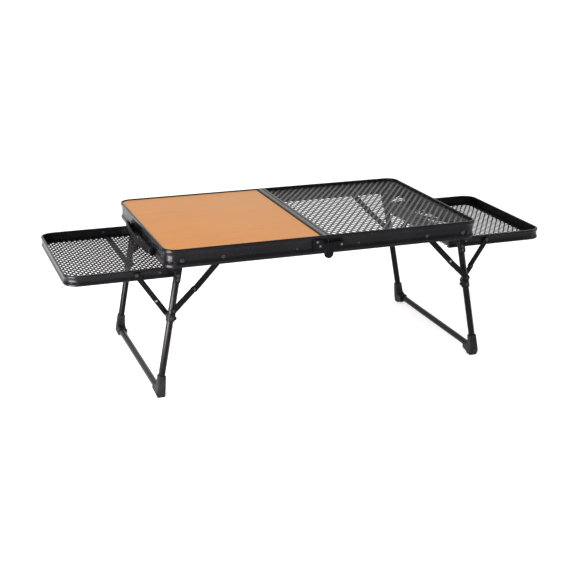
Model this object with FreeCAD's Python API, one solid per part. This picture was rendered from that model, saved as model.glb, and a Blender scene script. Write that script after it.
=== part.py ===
import FreeCAD, Part
import math
import os

os.makedirs("parts", exist_ok=True)

V = FreeCAD.Vector
UP = V(0, 0, 1)
ALONG_Y = V(0, 1, 0)

# ---- driving dimensions, millimetres -------------------------------------
LEAF_L = 314.0           # one leaf, seam to end
TABLE_W = 400.0          # depth over the frame's beads
TABLE_H = 289.0          # floor to table top
FRAME_H = 35.0           # height of the leaf's side profile
CORNER_R = 24.0          # outer corner of a leaf
WEB_T = 1.4              # wall of the side profiles
BEAD = 2.0               # how far the beads stand proud of the web
BEAD_H = 7.0             # height of a bead
LIP_W = 3.2              # top lip beside the panel
LEDGE_W = 14.0           # ledge under the panel, from the outer face
LEDGE_T = 2.0
SHEET_T = 5.0            # depth of the recess that holds panel or mesh
SEAM_W = 12.0            # seam bar beside the wood panel
SEAM_MESH_W = 6.5        # seam bar beside the mesh
SEAM_GAP = 0.2           # each leaf stops this far from the seam
FIT = 0.1                # seat between parts that touch
PIN_FIT = 0.05           # running fit of pins, on radius

SPLAY = 10.37            # leg's lean from upright, degrees
TUBE_D = 12.7
TUBE_WALL = 1.2
LEG_Y = 180.0            # leg tube's axis
LEG_PIVOT_X = 282.4
RIVET_Z = 267.6          # mid-height of the leaf's web
CROSSBAR_Z = 13.6
LEG_BEND_R = 16.0
TUBE_TOP = 24.0          # leg pivot to the tube's top end, along the leg
FOLD_LEG = 90.0 + SPLAY  # leg's travel to stowed

RIVET_R = 1.7
RIVET_S = (31.7, 39.6)   # rivets of the top fitting, down the leg
COLLAR_S = 113.4         # collar's rivet, down the leg
COLLAR_H = 15.0
COLLAR_WALL = 1.8

TRAY_TOP = 244.3
TRAY_H = 20.0
TRAY_HALF_W = 156.0
TRAY_END_X = 488.0
TRAY_IN_X = 276.0
TRAY_CORNER_R = 27.0
TRAY_PIVOT = (278.3, 249.4)
TRAY_LIP = 4.0
TRAY_BAR_W = 24.0
TRAY_RAIL = 44.0         # side flanges of the inner bar, from its face
TRAY_RIVET = (314.0, 235.9)              # rivet that ties a flange to the rim

LINK_W = 11.0            # stay link's width
LINK_T = 2.6
STAY_TOP_X = 205.0       # inner stay's pivot on the leaf
STAY_KNEE = (259.5, 210.0)
STAY_LEG_S = 98.4        # inner stay's pivot on the leg, from the leg pivot
OUT_TOP = (358.4, 235.5) # outer stay's pivot on the tray
OUT_KNEE = (323.85, 183.9)
OUT_LOW = (305.5, 156.5) # outer stay's pivot on the collar's boss
OUT_LINK_W = 10.0
PIVOT_R = 2.0
LEG_PIN_R = 2.5
BOSS_R = 5.0             # collar's boss behind the outer stay
BOSS_BORE = 6.0          # how deep the outer stay's pin sits in it

BOOT_WALL = 0.95         # foot boot round the tube
BOOT_UP = 30.0           # boot's top above the crossbar, along the leg
BOOT_DOWN = 18.0         # boot's tip below the crossbar, before the flat pad
BOOT_IN = 27.0           # boot's reach along the crossbar
BOOT_TOE = 0.12          # inner face's slope away from the leg, per millimetre down
BOOT_BEVEL = 0.545       # slope of the boot's outer lower face
BOOT_RIM = 3.0           # rounding of the boot's long edges

HINGE_Z = 253.7          # pivot of the centre hinge
HINGE_T = 1.4
HINGE_R = 9.0            # lobe round the pivot
HINGE_RIVETS = {"right": ((26.1, 269.7),), "left": ((22.9, 278.4), (17.6, 269.9))}
STUD_R = 1.6             # shank of the hinge plate rivets
STUD_HEAD_R = 2.3
SEAM_RIVET = (62.0, 268.0)               # small flush rivet of the side profile
FLUSH_R = 1.5
FLUSH_HEAD_R = 2.2

HANDLE_SPAN = 98.0       # half distance between the carry handle's screws
HANDLE_BOW = 8.0         # how far the grip bows outward
HANDLE_T = 3.6
HANDLE_Z = (254.2, 267.0)

MESH_T = 2.0
LEAF_CELL = (22.0, 24.0) # opening pitch of the top's mesh, x and y
TRAY_CELL = (20.0, 24.0)
STRAND = 2.4

# ---- layers across the width, |y| ----------------------------------------
HALF_W = TABLE_W / 2
WEB_IN = HALF_W - BEAD - WEB_T
IN_UP = WEB_IN - 0.6 - LINK_T            # inner stay, upper link's inner face
IN_LOW = IN_UP - 0.4 - LINK_T            # inner stay, lower link's inner face
FITTING_IN = LEG_Y + TUBE_D / 2 + FIT    # leg's top fitting, inner face
FITTING_T = 2.8
OUT_UP = TRAY_HALF_W + 0.8               # outer stay, upper link's inner face
OUT_LOWER = OUT_UP + LINK_T + 0.5
BOSS_IN = OUT_LOWER + LINK_T + 0.8       # collar's boss, inner face
BRACKET_IN = TRAY_HALF_W + 0.8           # tray bracket, inner face
BRACKET_T = 2.4
TRAY_WEB_IN = TRAY_HALF_W - 3.0
FLANGE_OUT = TRAY_HALF_W - TRAY_LIP - 0.1
FLANGE_T = 2.0

FRAME_BOT = TABLE_H - FRAME_H
LEDGE_TOP = TABLE_H - SHEET_T
TRAY_BOT = TRAY_TOP - TRAY_H
LEG_DIR = V(math.sin(math.radians(SPLAY)), 0, -math.cos(math.radians(SPLAY)))
LEG_OUT = V(math.cos(math.radians(SPLAY)), 0, math.sin(math.radians(SPLAY)))
LEG_PIVOT = V(LEG_PIVOT_X, 0, RIVET_Z)


def save(shape, name):
    """Write one node."""
    shape.exportStep("parts/" + name + ".step")


def mirror_x(shape):
    """The same piece on the left end."""
    return shape.mirror(V(0, 0, 0), V(1, 0, 0))


def mirror_y(shape):
    """The same piece at the back."""
    return shape.mirror(V(0, 0, 0), V(0, 1, 0))


def group(shapes):
    """Separate solids in one node."""
    return Part.makeCompound([s for shape in shapes for s in shape.Solids])


def box(x0, x1, y0, y1, z0, z1):
    """A box between corner values."""
    return Part.makeBox(x1 - x0, y1 - y0, z1 - z0, V(x0, y0, z0))


def rod(x, z, r, y0, y1):
    """A round pin along Y."""
    return Part.makeCylinder(r, y1 - y0, V(x, y0, z), ALONG_Y)


def on_leg(s, out=0.0):
    """Point at distance s down the leg's axis from its pivot, offset outward."""
    return LEG_PIVOT + LEG_DIR * s + LEG_OUT * out


def poly_plate(points, y0, y1):
    """A flat plate in the xz plane between two y values."""
    pts = [V(x, y0, z) for x, z in points]
    face = Part.Face(Part.makePolygon(pts + [pts[0]]))
    return face.extrude(V(0, y1 - y0, 0))


def round_plate(points, y0, y1, radius):
    """A flat plate with its upright corners rounded."""
    plate = poly_plate(points, y0, y1)
    upright = []
    for edge in plate.Edges:
        along = edge.Vertexes[-1].Point - edge.Vertexes[0].Point
        if abs(abs(along.y) - (y1 - y0)) < 0.01:
            upright.append(edge)
    return plate.makeFillet(radius, upright)


def bar_between(a, b, width, y0, y1):
    """A flat link with round ends on the pivots a and b."""
    ax, az = a
    bx, bz = b
    length = math.hypot(bx - ax, bz - az)
    nx = -(bz - az) / length * width / 2
    nz = (bx - ax) / length * width / 2
    corners = [(ax + nx, az + nz), (bx + nx, bz + nz), (bx - nx, bz - nz), (ax - nx, az - nz)]
    link = poly_plate(corners, y0, y1)
    for x, z in (a, b):
        link = link.fuse(rod(x, z, width / 2, y0, y1))
    return link.removeSplitter()


def rounded_path(x0, x1, half, r, z):
    """Open U path: front side, outer end, back side."""
    k = r * (1 - math.sqrt(0.5))
    front = Part.makeLine(V(x0, -half, z), V(x1 - r, -half, z))
    arc1 = Part.Arc(V(x1 - r, -half, z), V(x1 - k, -half + k, z), V(x1, -half + r, z)).toShape()
    end = Part.makeLine(V(x1, -half + r, z), V(x1, half - r, z))
    arc2 = Part.Arc(V(x1, half - r, z), V(x1 - k, half - k, z), V(x1 - r, half, z)).toShape()
    back = Part.makeLine(V(x1 - r, half, z), V(x0, half, z))
    return Part.Wire([front, arc1, end, arc2, back])


def swept_rim(x0, x1, half, r, section):
    """Sweep a side profile round three sides. Section points are (inward, z)."""
    z0 = section[0][1]
    path = rounded_path(x0, x1, half, r, z0)
    pts = [V(x0, -half + inward, z) for inward, z in section]
    profile = Part.makePolygon(pts + [pts[0]])
    return path.makePipeShell([profile], True, False)


def rounded_sheet(x0, x1, half, r, z, holes=()):
    """A flat face, square at x0 and round-cornered at x1."""
    k = r * (1 - math.sqrt(0.5))
    edges = [
        Part.makeLine(V(x0, -half, z), V(x1 - r, -half, z)),
        Part.Arc(V(x1 - r, -half, z), V(x1 - k, -half + k, z), V(x1, -half + r, z)).toShape(),
        Part.makeLine(V(x1, -half + r, z), V(x1, half - r, z)),
        Part.Arc(V(x1, half - r, z), V(x1 - k, half - k, z), V(x1 - r, half, z)).toShape(),
        Part.makeLine(V(x1 - r, half, z), V(x0, half, z)),
        Part.makeLine(V(x0, half, z), V(x0, -half, z)),
    ]
    return Part.Face([Part.Wire(edges)] + list(holes))


def diamond(x, y, z, dx, dy):
    """One opening of expanded mesh."""
    pts = [V(x - dx, y, z), V(x, y + dy, z), V(x + dx, y, z), V(x, y - dy, z)]
    return Part.makePolygon(pts + [pts[0]])


def mesh_sheet(x0, x1, half, r, z, cell, margin):
    """Expanded-metal sheet with a plain border."""
    px, py = cell
    nx = int((x1 - x0 - 2 * margin) / px)
    ny = int((2 * half - 2 * margin) / (py / 2))
    xs = (x0 + x1) / 2 - (nx - 1) * px / 2
    ys = -(ny - 1) * py / 4
    holes = []
    for row in range(ny):
        shift = px / 2 if row % 2 else 0.0
        for col in range(nx - row % 2):
            holes.append(diamond(xs + col * px + shift, ys + row * py / 2, z,
                                 px / 2 - STRAND / 2, py / 2 - STRAND / 2))
    sheet = rounded_sheet(x0, x1, half, r, z, holes)
    return sheet.extrude(V(0, 0, MESH_T))


# ---- one leaf of the top -------------------------------------------------
def leaf_frame():
    """Side profile bent round three sides of a leaf, with its pin holes."""
    web_out = BEAD
    web_in = BEAD + WEB_T
    ledge_z = LEDGE_TOP - LEDGE_T
    section = [
        (0.0, TABLE_H - 0.6), (0.0, TABLE_H - BEAD_H), (web_out, TABLE_H - BEAD_H - 1.6),
        (web_out + 0.3, (TABLE_H + FRAME_BOT) / 2), (web_out, FRAME_BOT + BEAD_H + 1.6),
        (0.0, FRAME_BOT + BEAD_H), (0.0, FRAME_BOT + 0.6), (0.6, FRAME_BOT),
        (web_in, FRAME_BOT), (web_in, ledge_z), (LEDGE_W, ledge_z),
        (LEDGE_W, LEDGE_TOP), (LIP_W, LEDGE_TOP), (LIP_W, TABLE_H), (0.6, TABLE_H),
    ]
    frame = swept_rim(SEAM_GAP, LEAF_L, HALF_W, CORNER_R, section)
    cuts = []
    holes = ((LEG_PIVOT_X, RIVET_Z, LEG_PIN_R), (STAY_TOP_X, RIVET_Z, PIVOT_R), SEAM_RIVET + (FLUSH_R,))
    for x, z, r in holes:
        hole = rod(x, z, r, WEB_IN - 1, HALF_W + 1)
        cuts += [hole, mirror_y(hole)]
    for sign in (-1, 1):
        base = V(LEAF_L - 5, sign * HANDLE_SPAN, RIVET_Z - 6)
        cuts.append(Part.makeCylinder(RIVET_R, 10, base, V(1, 0, 0)))
    return frame.cut(cuts)


def seam_bar(width):
    """Flat bar across the leaf's inner end."""
    half = HALF_W - LIP_W - FIT
    return box(SEAM_GAP, width, -half, half, LEDGE_TOP, TABLE_H - 0.2)


def wood_panel():
    """Inset panel of the left leaf."""
    face = rounded_sheet(SEAM_W + FIT, LEAF_L - LIP_W - FIT, HALF_W - LIP_W - FIT,
                         CORNER_R - LIP_W - FIT, LEDGE_TOP)
    return mirror_x(face.extrude(V(0, 0, SHEET_T - 0.4)))


def grill_mesh():
    """Mesh panel of the right leaf."""
    return mesh_sheet(SEAM_MESH_W + FIT, LEAF_L - LIP_W - FIT, HALF_W - LIP_W - FIT,
                      CORNER_R - LIP_W - FIT, LEDGE_TOP, LEAF_CELL, LEDGE_W - LIP_W)


def tray_bracket():
    """Angle bracket that hangs the tray's hinge from the leaf's end, front side."""
    px, pz = TRAY_PIVOT
    x1 = LEAF_L - BEAD - WEB_T
    plate = round_plate([(px - 5.5, pz - 5.5), (px + 7, pz - 5.5), (x1, pz + 7),
                         (x1, pz + 22), (x1 - 14, pz + 22), (px - 5.5, pz + 10)],
                        BRACKET_IN, BRACKET_IN + BRACKET_T, 1.8)
    flange = box(x1 - BRACKET_T, x1, BRACKET_IN + 0.01 - 14, BRACKET_IN + BRACKET_T, pz + 9, pz + 20)
    hole = rod(px, pz, PIVOT_R + PIN_FIT, BRACKET_IN - 1, BRACKET_IN + BRACKET_T + 1)
    return mirror_y(plate.fuse(flange).removeSplitter().cut(hole))


def handle():
    """Moulded carry handle across the leaf's end: bowed grip between two feet."""
    z0, z1 = HANDLE_Z
    x0 = LEAF_L + 1.4
    span = HANDLE_SPAN
    edges = []
    for x in (x0, x0 + HANDLE_T):
        ends = [V(x, -span, z0), V(x + HANDLE_BOW, 0, z0), V(x, span, z0)]
        edges.append(Part.Arc(*ends).toShape())
    a, b = edges
    caps = [Part.makeLine(a.Vertexes[i].Point, b.Vertexes[i].Point) for i in (0, -1)]
    grip = Part.Face(Part.Wire([a, caps[1], b, caps[0]])).extrude(V(0, 0, z1 - z0))
    feet = []
    for sign in (-1, 1):
        y0, y1 = sorted((sign * (span - 7), sign * (span + 9)))
        feet.append(box(LEAF_L, x0 + HANDLE_T + 0.8, y0, y1, z0, z1 + 1.5))
    body = grip.fuse(feet).removeSplitter()
    screws = [Part.makeCylinder(RIVET_R, 20, V(LEAF_L - 5, sign * span, RIVET_Z - 6), V(1, 0, 0))
              for sign in (-1, 1)]
    return body.cut(screws)


def handle_screws():
    """The two screws of a carry handle."""
    face = LEAF_L + 1.4 + HANDLE_T + 0.8
    inner = LEAF_L - BEAD - WEB_T
    screws = []
    for sign in (-1, 1):
        base = V(inner - 1.2, sign * HANDLE_SPAN, RIVET_Z - 6)
        shank = Part.makeCylinder(RIVET_R, face - base.x + 0.5, base, V(1, 0, 0))
        nut = Part.makeCylinder(3.0, 1.2, base, V(1, 0, 0))
        head = Part.makeCylinder(3.2, 1.0, V(face, base.y, base.z), V(1, 0, 0))
        screws.append(shank.fuse([nut, head]).removeSplitter())
    return group(screws)


# ---- centre hinge --------------------------------------------------------
def hinge_leaf(inner):
    """Outside plate of the centre hinge, right-hand side at the front."""
    y0 = HALF_W + 0.1 if inner else HALF_W + 0.1 + HINGE_T + 0.3
    top = 276.0 if inner else 283.0
    plate = round_plate([(6.0, FRAME_BOT + 5), (31.0, FRAME_BOT + 5), (31.0, top), (14.0, top),
                         (8.0, 275.0), (-5.0, 275.0), (-6.5, FRAME_BOT + 8)],
                        y0, y0 + HINGE_T, 2.0)
    lobe = rod(0, HINGE_Z, HINGE_R, y0, y0 + HINGE_T)
    neck = box(-HINGE_R, HINGE_R, y0, y0 + HINGE_T, HINGE_Z, FRAME_BOT + 9)
    plate = plate.fuse([lobe, neck]).removeSplitter()
    cuts = [rod(0, HINGE_Z, PIVOT_R + PIN_FIT, y0 - 1, y0 + HINGE_T + 1)]
    for x, z in HINGE_RIVETS["right" if inner else "left"]:
        cuts.append(rod(x, z, STUD_R, y0 - 1, y0 + HINGE_T + 1))
    return mirror_y(plate.cut(cuts))


def hinge_pin():
    """Headed pin through both hinge plates, flush at its inner end, front side."""
    y0 = HALF_W + 0.1
    y1 = y0 + 2 * HINGE_T + 0.3
    pin = rod(0, HINGE_Z, PIVOT_R, y0, y1 + 0.8).fuse(rod(0, HINGE_Z, 3.6, y1, y1 + 0.8))
    return mirror_y(pin.removeSplitter())


def leaf_rivets(side):
    """Pivot pins and rivets that belong to one leaf, both long sides."""
    web_face = HALF_W - BEAD
    pins = []
    leg = rod(LEG_PIVOT_X, RIVET_Z, LEG_PIN_R, FITTING_IN - 0.8, web_face + 1.2)
    leg = leg.fuse([rod(LEG_PIVOT_X, RIVET_Z, 4.2, web_face, web_face + 1.2),
                    rod(LEG_PIVOT_X, RIVET_Z, 4.2, FITTING_IN - 1.4, FITTING_IN - 0.3)])
    pins.append(leg.removeSplitter())
    stay = rod(STAY_TOP_X, RIVET_Z, PIVOT_R, IN_UP + 0.1, web_face + 1.2)
    pins.append(stay.fuse(rod(STAY_TOP_X, RIVET_Z, 3.6, web_face, web_face + 1.2)).removeSplitter())
    x, z = SEAM_RIVET
    flush = rod(x, z, FLUSH_R, WEB_IN - 0.6, web_face + 0.5)
    pins.append(flush.fuse(rod(x, z, FLUSH_HEAD_R, web_face, web_face + 0.5)).removeSplitter())
    y1 = HALF_W + 0.1 + HINGE_T
    if side == "left":
        y1 += HINGE_T + 0.3
    for x, z in HINGE_RIVETS[side]:
        stud = rod(x, z, STUD_R, web_face + 0.1, y1 + 0.7)
        pins.append(stud.fuse(rod(x, z, STUD_HEAD_R, y1, y1 + 0.7)).removeSplitter())
    px, pz = TRAY_PIVOT
    hinge = rod(px, pz, PIVOT_R, FLANGE_OUT - FLANGE_T - 1.0, BRACKET_IN + BRACKET_T + 1.0)
    hinge = hinge.fuse([rod(px, pz, 3.2, FLANGE_OUT - FLANGE_T - 1.2, FLANGE_OUT - FLANGE_T - 0.2),
                        rod(px, pz, 3.2, BRACKET_IN + BRACKET_T, BRACKET_IN + BRACKET_T + 1.0)])
    pins.append(hinge.removeSplitter())
    return group([p for pin in pins for p in (pin, mirror_y(pin))])


# ---- folding leg ---------------------------------------------------------
def leg_path(radius):
    """U path of the leg's tube, down the front and up the back."""
    s_bar = (RIVET_Z - CROSSBAR_Z) / -LEG_DIR.z
    top_f = on_leg(TUBE_TOP) - ALONG_Y * LEG_Y
    low_f = on_leg(s_bar - radius) - ALONG_Y * LEG_Y
    bar_f = on_leg(s_bar) - ALONG_Y * (LEG_Y - radius)
    k = radius * (1 - math.sqrt(0.5))
    mid_f = on_leg(s_bar - k) - ALONG_Y * (LEG_Y - k)
    front = [Part.makeLine(top_f, low_f), Part.Arc(low_f, mid_f, bar_f).toShape()]
    flip = [V(p.x, -p.y, p.z) for p in (bar_f, mid_f, low_f, top_f)]
    back = [Part.Arc(flip[0], flip[1], flip[2]).toShape(), Part.makeLine(flip[2], flip[3])]
    return Part.Wire(front + [Part.makeLine(bar_f, flip[0])] + back)


def tube(radius):
    """Round bar swept along the leg's path."""
    path = leg_path(LEG_BEND_R)
    start = on_leg(TUBE_TOP) - ALONG_Y * LEG_Y
    ring = Part.Wire(Part.makeCircle(radius, start, LEG_DIR))
    return path.makePipeShell([ring], True, False)


def cross_pin(s, r, y0, y1):
    """Pin along Y through the leg's axis at distance s."""
    p = on_leg(s)
    return rod(p.x, p.z, r, y0, y1)


def leg_frame():
    """Bent tube with its rivet holes."""
    frame = tube(TUBE_D / 2).cut(tube(TUBE_D / 2 - TUBE_WALL))
    cuts = []
    for s in RIVET_S + (COLLAR_S, STAY_LEG_S):
        r = PIVOT_R if s == STAY_LEG_S else RIVET_R
        hole = cross_pin(s, r, LEG_Y, LEG_Y + TUBE_D)
        cuts += [hole, mirror_y(hole)]
    return frame.cut(cuts)


def leg_fitting():
    """Flat strap that carries the leg's pivot, front side."""
    a = (LEG_PIVOT.x, LEG_PIVOT.z)
    end = on_leg(RIVET_S[1] + 2.0)
    strap = bar_between(a, (end.x, end.z), LINK_W, FITTING_IN, FITTING_IN + FITTING_T)
    cuts = [rod(a[0], a[1], LEG_PIN_R + PIN_FIT, FITTING_IN - 1, FITTING_IN + FITTING_T + 1)]
    for s in RIVET_S:
        cuts.append(cross_pin(s, RIVET_R, FITTING_IN - 1, FITTING_IN + FITTING_T + 1))
    return mirror_y(strap.cut(cuts))


def collar():
    """Clamp round the leg with an inward lobe and a boss for the outer stay, front side."""
    start = on_leg(COLLAR_S - COLLAR_H / 2) + ALONG_Y * LEG_Y
    outer_r = TUBE_D / 2 + FIT + COLLAR_WALL
    body = Part.makeCylinder(outer_r, COLLAR_H, start, LEG_DIR)
    mid = on_leg(COLLAR_S)
    lobe = on_leg(COLLAR_S + 1.0, -6.5)
    body = body.fuse(bar_between((lobe.x, lobe.z), (mid.x, mid.z), 8.0, LEG_Y - 5.0, LEG_Y + 5.0))
    body = body.fuse(rod(OUT_LOW[0], OUT_LOW[1], BOSS_R, BOSS_IN, LEG_Y)).removeSplitter()
    bore = Part.makeCylinder(TUBE_D / 2 + FIT / 2, COLLAR_H * 3, start - LEG_DIR * COLLAR_H, LEG_DIR)
    pin = rod(OUT_LOW[0], OUT_LOW[1], PIVOT_R, BOSS_IN - 1, BOSS_IN + BOSS_BORE)
    rivet = cross_pin(COLLAR_S, RIVET_R, LEG_Y, LEG_Y + TUBE_D)
    stay = cross_pin(STAY_LEG_S, PIVOT_R + 1.4, LEG_Y, LEG_Y + TUBE_D)
    return mirror_y(body.cut([bore, pin, rivet, stay]))


def down_leg(point):
    """Distance of a point down the leg's axis."""
    return (point - LEG_PIVOT).dot(LEG_DIR)


def across(edge):
    """How far an edge runs in the leg's outward direction."""
    return abs((edge.Vertexes[-1].Point - edge.Vertexes[0].Point).dot(LEG_OUT))


def corner_edges(shape, y, s, least):
    """Edges that cross the leg's plane at one corner of an outline."""
    found = []
    for edge in shape.Edges:
        p = edge.Vertexes[0].Point
        if across(edge) > least and abs(p.y - y) < 0.1 and abs(down_leg(p) - s) < 0.1:
            found.append(edge)
    return found


def foot():
    """Moulded boot over the leg's lower corner, front side."""
    wide = TUBE_D / 2 + BOOT_WALL
    s_bar = (RIVET_Z - CROSSBAR_Z) / -LEG_DIR.z
    s_top = s_bar - BOOT_UP
    s_low = s_bar + BOOT_DOWN
    y_in = LEG_Y - BOOT_IN
    inner_r = LEG_BEND_R - wide
    outline = [(LEG_Y - wide, s_top, 0), (LEG_Y + wide, s_top, 0), (LEG_Y + wide + 0.5, s_bar + 1, 8.0),
               (LEG_Y + 3.5, s_low, 0), (LEG_Y - 4, s_low, 0), (LEG_Y - 15, s_bar + wide + 2, 10.0),
               (y_in, s_bar + wide, 0), (y_in, s_bar - wide, 0), (LEG_Y - wide, s_bar - wide, inner_r)]
    near = [on_leg(s, -wide - BOOT_TOE * (s - s_top)) + ALONG_Y * y for y, s, r in outline]
    far = [on_leg(s, wide) + ALONG_Y * y for y, s, r in outline]
    rings = [Part.makePolygon(pts + [pts[0]]) for pts in (near, far)]
    boot = Part.makeLoft(rings, True, True)
    for y, s, r in outline:
        if r:
            boot = boot.makeFillet(r, corner_edges(boot, y, s, wide))
    s_bevel = s_bar + 5.0
    drop = s_low + 5.0 - s_bevel
    bevel = [on_leg(s_bevel, wide), on_leg(s_bevel + drop, wide - BOOT_BEVEL * drop),
             on_leg(s_bevel + drop, wide + 15), on_leg(s_bevel, wide + 15)]
    boot = boot.cut(poly_plate([(p.x, p.z) for p in bevel], LEG_Y - 60, LEG_Y + 40))
    boot = boot.cut(box(280, 380, 100, 220, -20, 0))
    rims = []
    for edge in boot.Edges:
        points = [v.Point for v in edge.Vertexes]
        clear = max(p.z for p in points) > 0.1 and max(p.y for p in points) > y_in + 0.1
        if across(edge) < 5.0 and clear and max(down_leg(p) for p in points) > s_top + 0.1:
            rims.append(edge)
    boot = boot.makeFillet(BOOT_RIM, rims)
    return mirror_y(boot.cut(tube(TUBE_D / 2 + FIT / 2)))


def leg_rivets():
    """Rivets and pivot pins carried by one leg, both sides."""
    crest = LEG_Y + TUBE_D / 2
    out = FITTING_IN + FITTING_T
    pins = []
    for s in RIVET_S:
        stud = cross_pin(s, RIVET_R, crest - 3, out + 0.5)
        pins.append(stud.fuse(cross_pin(s, 3.2, out, out + 0.5)).removeSplitter())
    sleeve = LEG_Y + TUBE_D / 2 + FIT + COLLAR_WALL
    stud = cross_pin(COLLAR_S, RIVET_R, crest - 3, sleeve + 1.0)
    pins.append(stud.fuse(cross_pin(COLLAR_S, 3.2, sleeve, sleeve + 1.0)).removeSplitter())
    stay = cross_pin(STAY_LEG_S, PIVOT_R, crest - 3, IN_LOW + LINK_T - 0.1)
    washer = cross_pin(STAY_LEG_S, 3.6, crest + 2.2, IN_LOW - 0.3)
    pins.append(stay.fuse(washer).removeSplitter())
    pins.append(rod(OUT_LOW[0], OUT_LOW[1], PIVOT_R, OUT_LOWER + 0.1, BOSS_IN + BOSS_BORE))
    return group([p for pin in pins for p in (pin, mirror_y(pin))])


# ---- wing tray -----------------------------------------------------------
def tray_rim():
    """Beaded rim bent round three sides of the tray."""
    section = [
        (0.0, TRAY_TOP - 0.6), (0.0, TRAY_TOP - 4.2), (1.2, TRAY_TOP - 5.6),
        (1.5, TRAY_TOP - TRAY_H / 2), (1.2, TRAY_BOT + 5.6), (0.0, TRAY_BOT + 4.2),
        (0.0, TRAY_BOT + 0.6), (0.6, TRAY_BOT), (11.0, TRAY_BOT), (11.0, TRAY_BOT + 1.5),
        (3.0, TRAY_BOT + 1.5), (3.0, TRAY_TOP - 1.6), (TRAY_LIP, TRAY_TOP - 1.6),
        (TRAY_LIP, TRAY_TOP), (0.6, TRAY_TOP),
    ]
    rim = swept_rim(TRAY_IN_X, TRAY_END_X, TRAY_HALF_W, TRAY_CORNER_R, section)
    cuts = []
    for (x, z), r in ((OUT_TOP, PIVOT_R), (TRAY_RIVET, RIVET_R)):
        hole = rod(x, z, r, TRAY_WEB_IN - 1, TRAY_HALF_W + 1)
        cuts += [hole, mirror_y(hole)]
    return rim.cut(cuts)


def tray_bar():
    """Bar across the tray's inner end, with its hinge ears and side flanges."""
    x0 = TRAY_IN_X
    px, pz = TRAY_PIVOT
    half = FLANGE_OUT
    bar = box(x0, x0 + TRAY_BAR_W, -half, half, TRAY_TOP - FLANGE_T, TRAY_TOP)
    drop = box(x0, x0 + FLANGE_T, -half, half, TRAY_BOT + 4.0, TRAY_TOP)
    parts = [drop]
    cuts = []
    for sign in (-1, 1):
        y0, y1 = sorted((sign * half, sign * (half - FLANGE_T)))
        parts.append(box(x0, x0 + TRAY_RAIL, y0, y1, TRAY_BOT + 4.0, TRAY_TOP - FLANGE_T + 0.5))
        parts.append(box(x0, px + 5, y0, y1, TRAY_TOP - 1, pz))
        parts.append(rod(px, pz, 5.0, y0, y1))
        cuts.append(rod(px, pz, PIVOT_R + PIN_FIT, y0 - 1, y1 + 1))
        cuts.append(rod(TRAY_RIVET[0], TRAY_RIVET[1], RIVET_R, y0 - 1, y1 + 1))
    return bar.fuse(parts).removeSplitter().cut(cuts)


def tray_mesh():
    """Mesh floor of the tray."""
    return mesh_sheet(TRAY_IN_X + FLANGE_T + FIT, TRAY_END_X - 3.1, TRAY_WEB_IN - FIT,
                      TRAY_CORNER_R - 3.1, TRAY_BOT + 1.5, TRAY_CELL, 9.0)


def tray_rivets():
    """Rivets of the tray's rails and the outer stays' upper pins."""
    pins = []
    x, z = OUT_TOP
    pin = rod(x, z, PIVOT_R, TRAY_WEB_IN - 0.8, OUT_UP + LINK_T + 0.4)
    pins.append(pin.fuse([rod(x, z, 3.4, OUT_UP + LINK_T + 0.1, OUT_UP + LINK_T + 0.4),
                          rod(x, z, 3.4, TRAY_WEB_IN - 0.8, TRAY_WEB_IN)]).removeSplitter())
    x, z = TRAY_RIVET
    web = TRAY_HALF_W - 1.2
    pin = rod(x, z, RIVET_R, FLANGE_OUT - FLANGE_T - 0.8, web + 1.0)
    pins.append(pin.fuse([rod(x, z, 2.5, web, web + 1.0),
                          rod(x, z, 2.5, FLANGE_OUT - FLANGE_T - 0.8, FLANGE_OUT - FLANGE_T)]).removeSplitter())
    return group([p for pin in pins for p in (pin, mirror_y(pin))])


# ---- stay links ----------------------------------------------------------
def link(pivot, knee, width, y0, knee_side, stud):
    """One stay link with a bore at its pivot and a formed knee stud, front side."""
    bar = bar_between(pivot, knee, width, y0, y0 + LINK_T)
    if knee_side > 0:
        bar = bar.fuse(rod(knee[0], knee[1], 3.2, y0, y0 + LINK_T + stud))
    else:
        bar = bar.fuse(rod(knee[0], knee[1], 3.2, y0 - stud, y0 + LINK_T))
    bore = rod(pivot[0], pivot[1], PIVOT_R + PIN_FIT, y0 - 1, y0 + LINK_T + 1)
    return mirror_y(bar.removeSplitter().cut(bore))


def stay_links():
    """The four links of one corner."""
    top = (STAY_TOP_X, RIVET_Z)
    low = on_leg(STAY_LEG_S)
    low = (low.x, low.z)
    return {
        "inner_stay_upper": link(top, STAY_KNEE, LINK_W, IN_UP, 1, 0.3),
        "inner_stay_lower": link(low, STAY_KNEE, LINK_W, IN_LOW, -1, 0.6),
        "outer_stay_upper": link(OUT_TOP, OUT_KNEE, OUT_LINK_W, OUT_UP, -1, 0.4),
        "outer_stay_lower": link(OUT_LOW, OUT_KNEE, OUT_LINK_W, OUT_LOWER, 1, 0.5),
    }


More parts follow.
